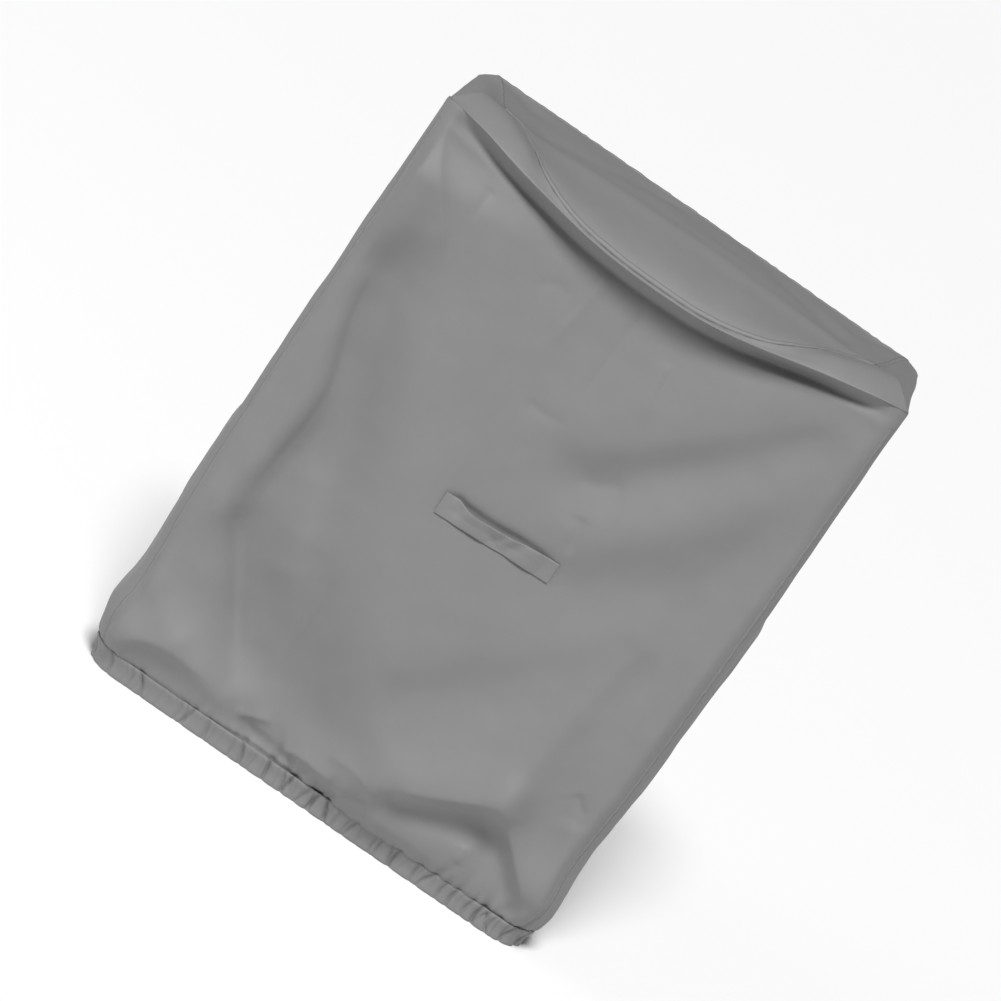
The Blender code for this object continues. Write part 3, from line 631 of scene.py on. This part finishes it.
def along_knots(knots, place):
    """Points on the smooth path through each row of knots, at places counted in knots."""
    last = knots.shape[1] - 2
    low = np.clip(np.floor(place).astype(int), 0, last)
    part = (place - low)[:, None]
    row = np.arange(len(place))
    start, end = knots[row, low], knots[row, low + 1]
    before = knots[row, np.maximum(low - 1, 0)]
    after = knots[row, np.minimum(low + 2, last + 1)]
    rise_start = np.where(low[:, None] > 0, 0.5 * (end - before), end - start)
    rise_end = np.where(low[:, None] < last, 0.5 * (after - start), end - start)
    rest = 1.0 - part
    return (
        (1.0 + 2.0 * part) * rest**2 * start
        + part * rest**2 * rise_start
        + part**2 * (3.0 - 2.0 * part) * end
        - part**2 * rest * rise_end
    )


def wall_grid(side, columns, wall_rows):
    """A wall panel's points, row by row from the roof seam over the edge and down to the hem."""
    fraction = np.linspace(0.0, 1.0, columns + 1)
    knots = roof_edge_knots(side, fraction)
    rows = []
    for row in range(EDGE_ROWS):
        rows.append(along_knots(knots, np.full(columns + 1, EDGE_KNOTS * row / EDGE_ROWS)))
    down = np.linspace(0.0, 1.0, wall_rows + 1)
    down = 1.0 - (1.0 - down) ** WALL_CROWDING
    start = knots[:, EDGE_KNOTS, 2]
    height = start[None, :] + (CASING_TOP - WALL_INTO_CASING - start[None, :]) * down[:, None]
    across = np.broadcast_to(fraction, height.shape)
    wall = wall_points(side, across.ravel(), height.ravel()).reshape(*height.shape, 3)
    return np.concatenate([np.array(rows), wall]) + (0.0, MIDDLE_Y, 0.0)


def roof_grid(columns, rows):
    """The roof panel's points between its four seams, row by row from the front to the back."""
    from_front = np.linspace(0.0, 1.0, rows + 1) ** ROOF_CROWDING
    across, back = np.meshgrid(np.linspace(0.0, 1.0, columns + 1), from_front)
    shape = across.shape
    across, back = across.ravel(), back.ravel()
    ends = np.zeros_like(across)
    front = seam_points("front", across)
    rear = seam_points("back", across)
    left = seam_points("left", back)
    right = seam_points("right", back)
    corners = {(side, end): seam_points(side, ends + end) for side in ("left", "right") for end in (0, 1)}
    drooping = np.clip(1.0 - back / ROOF_FLAT_FROM, 0.0, 1.0)
    rise = (1.0 - drooping**ROOF_ROLL[0]) ** (1.0 / ROOF_ROLL[1])
    share = np.stack([back, back, rise], axis=1)
    a = across[:, None]
    points = (
        (1.0 - share) * front
        + share * rear
        + (1.0 - a) * (left - (1.0 - share) * corners["left", 0] - share * corners["left", 1])
        + a * (right - (1.0 - share) * corners["right", 0] - share * corners["right", 1])
    )
    beside = ROOF_WIDTH * np.minimum(across, 1.0 - across)
    inside = np.minimum(beside, ROOF_DEPTH * np.minimum(back, 1.0 - back))
    crown = ROOF_CROWN * np.sin(math.pi * across) * np.sin(math.pi * back)
    relief = fold_relief(points[:, 0], points[:, 1], ROOF_FOLDS) + crown
    relief += rumpled(points[:, 0], points[:, 1], ROOF_RUMPLES)
    relief *= smoothstep(inside / FOLD_FADE)
    points[:, 2] += relief + CLOTH_MIDDLE * smoothstep(inside / CLOTH_RISE)
    return points.reshape(*shape, 3) + (0.0, MIDDLE_Y, 0.0)


def seam_points(side, fraction):
    """Points on the roof seam of a wall panel."""
    table = edge_table(side)
    return through(fraction, table[:, 0], table[:, 1:])[:, 3:6]


def grid_object(name, points, material, inside_out=False):
    """A sheet of cloth over rows of points, with its cut size in metres as its texture map."""
    rows, columns = points.shape[:2]
    index = np.arange(rows * columns).reshape(rows, columns)
    corners = [index[:-1, :-1], index[1:, :-1], index[1:, 1:], index[:-1, 1:]]
    if inside_out:
        corners.reverse()
    faces = np.stack(corners, axis=-1).reshape(-1, 4)
    mesh = bpy.data.meshes.new(name)
    mesh.from_pydata(points.reshape(-1, 3), [], faces)
    step_down = np.linalg.norm(np.diff(points, axis=0), axis=2).mean(axis=1)
    step_along = np.linalg.norm(np.diff(points, axis=1), axis=2).mean(axis=0)
    down = np.concatenate([[0.0], np.cumsum(step_down)])
    along = np.concatenate([[0.0], np.cumsum(step_along)])
    place = np.stack(np.meshgrid(along, -down), axis=-1).reshape(-1, 2)
    layer = mesh.uv_layers.new(name="cut")
    loops = np.empty(len(mesh.loops), np.int32)
    mesh.loops.foreach_get("vertex_index", loops)
    layer.data.foreach_set("uv", place[loops].astype(np.float32).ravel())
    mesh.shade_smooth()
    mesh.materials.append(material)
    sheet = bpy.data.objects.new(name, mesh)
    bpy.context.scene.collection.objects.link(sheet)
    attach(sheet, "root")
    return sheet


# The handle: a strap sewn at both ends, with its top edge standing off the cloth
HANDLE_X = 0.0155
HANDLE_LENGTH = 0.195
STRAP_EDGES = (
    # along, top, bottom, top_off, bottom_off
    (0.00, 0.5410, 0.5065, 0.0010, 0.0008),
    (0.06, 0.5410, 0.5060, 0.0020, 0.0008),
    (0.12, 0.5405, 0.5060, 0.0045, 0.0010),
    (0.20, 0.5355, 0.5055, 0.0080, 0.0014),
    (0.32, 0.5330, 0.5060, 0.0095, 0.0018),
    (0.48, 0.5335, 0.5050, 0.0090, 0.0020),
    (0.60, 0.5340, 0.5055, 0.0085, 0.0018),
    (0.74, 0.5370, 0.5050, 0.0070, 0.0014),
    (0.88, 0.5385, 0.5045, 0.0040, 0.0010),
    (0.95, 0.5385, 0.5045, 0.0018, 0.0008),
    (1.00, 0.5385, 0.5045, 0.0010, 0.0008),
)
STRAP_THICKNESS = 0.0016
STRAP_BULGE = 0.0010
STRAP_BULGE_EDGE = 0.4
STRAP_CLEARANCE = 0.0006
STRAP_FREE_FROM = 0.002
STRAP_FREE_BAND = 0.006
STRAP_COLUMNS = 150
STRAP_ACROSS = 18
STRAP_WRINKLES = (
    # along, depth, width, slant
    (0.13, 0.0022, 0.010, 0.10),
    (0.31, -0.0010, 0.014, -0.05),
    (0.44, 0.0026, 0.011, -0.12),
    (0.52, 0.0020, 0.009, 0.08),
    (0.64, 0.0022, 0.012, 0.14),
    (0.79, -0.0012, 0.016, 0.05),
    (0.90, 0.0012, 0.008, 0.00),
)


def front_cloth_at(x, z):
    """Points on the front cloth at places across and heights."""
    half_width, _, radius = read_outline(z)
    fraction = 0.5 + 0.5 * x / to_corner(half_width, radius)
    return wall_points("front", fraction, z) + (0.0, MIDDLE_Y, 0.0)


def strap_grid():
    """The handle's band: rows around its section, columns along it."""
    along = np.linspace(0.0, 1.0, STRAP_COLUMNS + 1)
    table = np.array(STRAP_EDGES)
    top, bottom, top_off, bottom_off = through(along, table[:, 0], table[:, 1:]).T
    x = HANDLE_X + HANDLE_LENGTH * (along - 0.5)
    cloth_edge = front_cloth_at(x, 0.5 * (top + bottom))[:, 1]
    loop = np.linspace(0.0, 1.0, STRAP_ACROSS + 1)
    section = [(share, 1.0) for share in loop] + [(share, 0.0) for share in loop[::-1]]
    rows = []
    for share, outer in section + section[:1]:
        z = bottom + share * (top - bottom)
        off = bottom_off + share * (top_off - bottom_off)
        for place, depth, width, slant in STRAP_WRINKLES:
            aside = (along - place - slant * (share - 0.5)) * HANDLE_LENGTH
            off = off - depth * np.exp(-((aside / width) ** 2))
        edge = 4.0 * share * (1.0 - share)
        bulge = STRAP_BULGE * smoothstep(edge / STRAP_BULGE_EDGE)
        off = np.maximum(off, STRAP_CLEARANCE) + outer * STRAP_THICKNESS + (outer - 0.5) * bulge
        cloth = front_cloth_at(x, z)[:, 1]
        free = smoothstep((top_off - STRAP_FREE_FROM) / STRAP_FREE_BAND)
        surface = cloth + (np.minimum(cloth, cloth_edge) - cloth) * free
        rows.append(np.stack([x, surface - off, z], axis=1))
    return np.array(rows)


# A felled seam: how far from the seam line and how high each line of its band lies
ROOF_SEAM = (
    (0.0, -0.0004),
    (0.0006, 0.0009),
    (0.0030, 0.0014),
    (0.0066, 0.0013),
    (0.0082, 0.0008),
    (0.0088, -0.0003),
)
CORNER_SEAM = (
    (0.0, -0.0003),
    (0.0006, 0.0005),
    (0.0030, 0.0009),
    (0.0060, 0.0008),
    (0.0070, -0.0003),
)
SEAM_ROWS = 8
LIP_SEAM_ROWS = 60
SEAM_SEED = 70
SEAM_PUCKER = 0.0007
SEAM_PUCKER_PITCH = 0.0085
SEAM_END_CALM = 0.02
STITCH_PITCH = 0.0036
STITCH_LENGTH = 0.0025
STITCH_HALF_WIDTH = 0.00035
STITCH_HEIGHT = 0.0005
STITCHES_FROM_START = 0.002
STITCHES_FROM_END = 0.004
STITCH_TAPER = 0.22
STITCH_SHOULDER = 0.3
STITCH_SUNK = 0.4
INSIDE_THE_COVER = (0.0, 0.0, 0.5)


def edge_band(lines, section, seed):
    """A band along the first of the given lines, lying on the cloth that the others follow."""
    steps = np.linalg.norm(np.diff(lines, axis=0), axis=2)
    reached = np.concatenate([np.zeros((1, steps.shape[1])), np.cumsum(steps, axis=0)])
    rows = np.empty((len(section), lines.shape[1], 3))
    for row, (reach, _) in enumerate(section):
        for column in range(lines.shape[1]):
            for axis in range(3):
                rows[row, column, axis] = np.interp(reach, reached[:, column], lines[:, column, axis])
    normal = outward_normals(rows)
    length = np.concatenate([[0.0], np.cumsum(np.linalg.norm(np.diff(lines[0], axis=0), axis=1))])
    pucker = SEAM_PUCKER * rumple(length, np.zeros_like(length), SEAM_PUCKER_PITCH, seed)
    pucker *= smoothstep(np.minimum(length, length[-1] - length) / SEAM_END_CALM)
    height = np.array([high for _, high in section])
    lift = height[:, None] + pucker * (height > 0.0)[:, None]
    return rows + normal * lift[:, :, None]


def outward_normals(rows):
    """The directions out of the cover over a grid of points."""
    normal = np.cross(np.gradient(rows, axis=1), np.gradient(rows, axis=0))
    normal /= np.linalg.norm(normal, axis=2)[:, :, None] + 1e-12
    facing = ((rows - INSIDE_THE_COVER) * normal).sum(axis=2)
    return normal * np.where(facing < 0.0, -1.0, 1.0)[:, :, None]


def stitch_line(path, normal):
    """Corners of small threads laid end to end along a path, each a low ridge on the cloth."""
    steps = np.linalg.norm(np.diff(path, axis=0), axis=1)
    length = np.concatenate([[0.0], np.cumsum(steps)])
    starts = np.arange(STITCHES_FROM_START, length[-1] - STITCHES_FROM_END, STITCH_PITCH)
    ends = starts + STITCH_LENGTH

    def at(place, values):
        return np.stack([np.interp(place, length, values[:, axis]) for axis in range(3)], axis=1)

    first, last = at(starts, path), at(ends, path)
    up = at(0.5 * (starts + ends), normal)
    up /= np.linalg.norm(up, axis=1)[:, None]
    along = (last - first) / np.linalg.norm(last - first, axis=1)[:, None]
    beside = np.cross(along, up) * STITCH_HALF_WIDTH
    lift = up * STITCH_HEIGHT
    inner = along * STITCH_TAPER * STITCH_LENGTH
    shoulder = STITCH_SHOULDER * lift
    sunk = -STITCH_SUNK * lift
    return np.stack(
        [
            first + sunk,
            first + inner - beside + shoulder,
            first + inner + beside + shoulder,
            first + inner + lift,
            last - inner - beside + shoulder,
            last - inner + beside + shoulder,
            last - inner + lift,
            last + sunk,
        ],
        axis=1,
    )


STITCH_FACES = (
    (0, 1, 3),
    (0, 3, 2),
    (0, 2, 1),
    (1, 4, 6, 3),
    (3, 6, 5, 2),
    (2, 5, 4, 1),
    (7, 6, 4),
    (7, 5, 6),
    (7, 4, 5),
)


def stitches_object(name, runs, material):
    """One mesh of all the threads of a few stitch lines."""
    corners = np.concatenate([stitch_line(path, normal) for path, normal in runs])
    faces = [
        tuple(8 * thread + corner for corner in face)
        for thread in range(len(corners))
        for face in STITCH_FACES
    ]
    mesh = bpy.data.meshes.new(name)
    mesh.from_pydata(corners.reshape(-1, 3), [], faces)
    mesh.shade_smooth()
    mesh.materials.append(material)
    threads = bpy.data.objects.new(name, mesh)
    bpy.context.scene.collection.objects.link(threads)
    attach(threads, "root")
    return threads


# The cloth's finish, its faint mottling and its weave
CLOTH_FINISH = {
    "Roughness": 0.60,
    "Specular IOR Level": 0.35,
    "Sheen Weight": 0.06,
    "Sheen Roughness": 0.5,
}
MOTTLE = {"Scale": 9.0, "Detail": 8.0, "Roughness": 0.7}
MOTTLE_CONTRAST = 0.07
# A wave texture repeats every WAVE_CYCLE over its scale, here once a yarn
WAVE_CYCLE = 0.314
YARN_PITCH = 0.0011
YARN = {"Scale": WAVE_CYCLE / YARN_PITCH, "Distortion": 1.5, "Detail": 1.0}
WEAVE = {"Strength": 0.30, "Distance": 0.00012}
CLOTH_TONE = (0.196, 0.196, 0.1975)
THREAD_TONE = (0.130, 0.130, 0.132)
THREAD_ROUGHNESS = 0.7
FLOOR_TONE = (0.93, 0.93, 0.93)
FLOOR_ROUGHNESS = 0.9
FLOOR_REACH = 40.0


def set_inputs(node, values):
    """Sets a node's own values by their names."""
    for name, value in values.items():
        node.inputs[name].default_value = value


def coated_cloth(name, tone):
    """Matt coated polyester: a fine weave, faint mottling and a soft sheen."""
    material = bpy.data.materials.new(name)
    material.use_nodes = True
    nodes, links = material.node_tree.nodes, material.node_tree.links
    shader = nodes["Principled BSDF"]
    set_inputs(shader, CLOTH_FINISH)
    cut = nodes.new("ShaderNodeUVMap")
    cut.uv_map = "cut"
    mottle = nodes.new("ShaderNodeTexNoise")
    set_inputs(mottle, MOTTLE)
    links.new(cut.outputs["UV"], mottle.inputs["Vector"])
    shades = nodes.new("ShaderNodeMix")
    shades.data_type = "RGBA"
    for end, share in (("A", 1.0 - MOTTLE_CONTRAST), ("B", 1.0 + MOTTLE_CONTRAST)):
        shades.inputs[end].default_value = (*(share * channel for channel in tone), 1.0)
    links.new(mottle.outputs["Fac"], shades.inputs["Factor"])
    links.new(shades.outputs["Result"], shader.inputs["Base Color"])
    threads = nodes.new("ShaderNodeMath")
    threads.operation = "ADD"
    for number, direction in enumerate(("X", "Y")):
        yarn = nodes.new("ShaderNodeTexWave")
        yarn.bands_direction = direction
        set_inputs(yarn, YARN)
        links.new(cut.outputs["UV"], yarn.inputs["Vector"])
        links.new(yarn.outputs["Fac"], threads.inputs[number])
    weave = nodes.new("ShaderNodeBump")
    set_inputs(weave, WEAVE)
    links.new(threads.outputs["Value"], weave.inputs["Height"])
    links.new(weave.outputs["Normal"], shader.inputs["Normal"])
    return material


def plain_material(name, tone, roughness):
    """A matt material of one colour."""
    material = bpy.data.materials.new(name)
    material.use_nodes = True
    shader = material.node_tree.nodes["Principled BSDF"]
    shader.inputs["Base Color"].default_value = (*tone, 1.0)
    shader.inputs["Roughness"].default_value = roughness
    return material


IMAGE_SIDE = 1001
SENSOR_WIDTH = 36.0
VIEW_AIM = Vector((-0.0113, 0.0100, 0.5240))
VIEW_DISTANCE = 6.9
VIEW_ELEVATION = 14.0
VIEW_FOCAL_PIXELS = 4608.0
VIEW_ROLL = 34.50
WORLD_STRENGTH = 0.14
LIGHTS = (
    # name, kind, place, spread in degrees or metres, power
    ("key_light", "SUN", (-0.15, -3.1, 5.0), 18.0, 3.5),
    ("left_light", "AREA", (-4.4, -1.9, 1.6), 1.4, 30.0),
)


def camera_and_lights():
    """The photograph's view of the front, slightly from above, and a plain studio."""
    scene = bpy.context.scene
    elevation = math.radians(VIEW_ELEVATION)
    away = Vector((0.0, math.cos(elevation), -math.sin(elevation)))
    camera = bpy.data.objects.new("camera", bpy.data.cameras.new("camera"))
    scene.collection.objects.link(camera)
    scene.camera = camera
    camera.data.sensor_width = SENSOR_WIDTH
    camera.data.lens = SENSOR_WIDTH * VIEW_FOCAL_PIXELS / IMAGE_SIDE
    level = away.to_track_quat("-Z", "Y").to_matrix().to_4x4()
    roll = Matrix.Rotation(math.radians(VIEW_ROLL), 4, "Z")
    camera.matrix_world = Matrix.Translation(VIEW_AIM - VIEW_DISTANCE * away) @ level @ roll

    world = bpy.data.worlds.new("studio")
    world.use_nodes = True
    world.node_tree.nodes["Background"].inputs["Color"].default_value = (1.0, 1.0, 1.0, 1.0)
    world.node_tree.nodes["Background"].inputs["Strength"].default_value = WORLD_STRENGTH
    scene.world = world
    for name, kind, place, spread, power in LIGHTS:
        light = bpy.data.lights.new(name, kind)
        if kind == "SUN":
            light.angle = math.radians(spread)
        else:
            light.size = spread
        light.energy = power
        lamp = bpy.data.objects.new(name, light)
        scene.collection.objects.link(lamp)
        lamp.location = place
        lamp.rotation_euler = (VIEW_AIM - Vector(place)).to_track_quat("-Z", "Y").to_euler()
    scene.view_settings.view_transform = "Standard"


def floor():
    """A wide pale floor."""
    mesh = bpy.data.meshes.new("studio_floor")
    corners = [(x * FLOOR_REACH, y * FLOOR_REACH, 0.0) for x, y in ((-1, -1), (1, -1), (1, 1), (-1, 1))]
    mesh.from_pydata(corners, [], [(0, 1, 2, 3)])
    ground = bpy.data.objects.new("studio_floor", mesh)
    bpy.context.scene.collection.objects.link(ground)
    mesh.materials.append(plain_material("pale_floor", FLOOR_TONE, FLOOR_ROUGHNESS))


CLOTH = coated_cloth("grey_coated_cloth", CLOTH_TONE)
THREAD = plain_material("grey_thread", THREAD_TONE, THREAD_ROUGHNESS)

front_points = wall_grid("front", *FRONT_GRID)
back_points = wall_grid("back", *BACK_GRID)
roof_points = roof_grid(*ROOF_GRID)
front = grid_object("front_cloth", front_points, CLOTH)
back = grid_object("back_cloth", back_points, CLOTH, True)
left = grid_object("left_cloth", wall_grid("left", *SIDE_GRID), CLOTH, True)
right = grid_object("right_cloth", wall_grid("right", *SIDE_GRID), CLOTH)
roof = grid_object("roof_cloth", roof_points, CLOTH, True)

# Bands of doubled cloth along the seams, with a line of stitches on each
from_left = roof_points.transpose(1, 0, 2)
front_from_left = front_points[EDGE_ROWS:].transpose(1, 0, 2)
back_from_left = back_points[EDGE_ROWS:].transpose(1, 0, 2)
SEAM_LINES = (
    # name, the seam's line and the next ones on its cloth, section, stitched line, seen inside out
    ("roof_front_seam", roof_points[:LIP_SEAM_ROWS], ROOF_SEAM, 3, True),
    ("roof_back_seam", roof_points[::-1][:SEAM_ROWS], ROOF_SEAM, 3, False),
    ("roof_left_seam", from_left[:SEAM_ROWS], ROOF_SEAM, 3, False),
    ("roof_right_seam", from_left[::-1][:SEAM_ROWS], ROOF_SEAM, 3, True),
    ("front_left_seam", front_from_left[:SEAM_ROWS], CORNER_SEAM, 2, True),
    ("front_right_seam", front_from_left[::-1][:SEAM_ROWS], CORNER_SEAM, 2, False),
    ("back_left_seam", back_from_left[:SEAM_ROWS], CORNER_SEAM, 2, False),
    ("back_right_seam", back_from_left[::-1][:SEAM_ROWS], CORNER_SEAM, 2, True),
)
runs = {"roof": [], "front": [], "back": []}
for number, (name, lines, section, stitched, inside_out) in enumerate(SEAM_LINES):
    band_points = edge_band(lines, section, SEAM_SEED + number)
    grid_object(name, band_points, CLOTH, inside_out)
    runs[name.split("_")[0]].append((band_points[stitched], outward_normals(band_points)[stitched]))
for panel, lines in runs.items():
    stitches_object(panel + "_stitches", lines, THREAD)

for side, columns in HEM_COLUMNS.items():
    grid_object(side + "_hem", hem_grid(side, columns), CLOTH, side in ("back", "left"))
strap = grid_object("handle_strap", strap_grid(), CLOTH, True)
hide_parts("handle")
PANELS = (
    (front, "front_panel"),
    (back, "back_panel"),
    (left, "side_left"),
    (right, "side_right"),
    (roof, "top_panel"),
)
for piece, node in PANELS:
    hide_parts(node)


camera_and_lights()
floor()
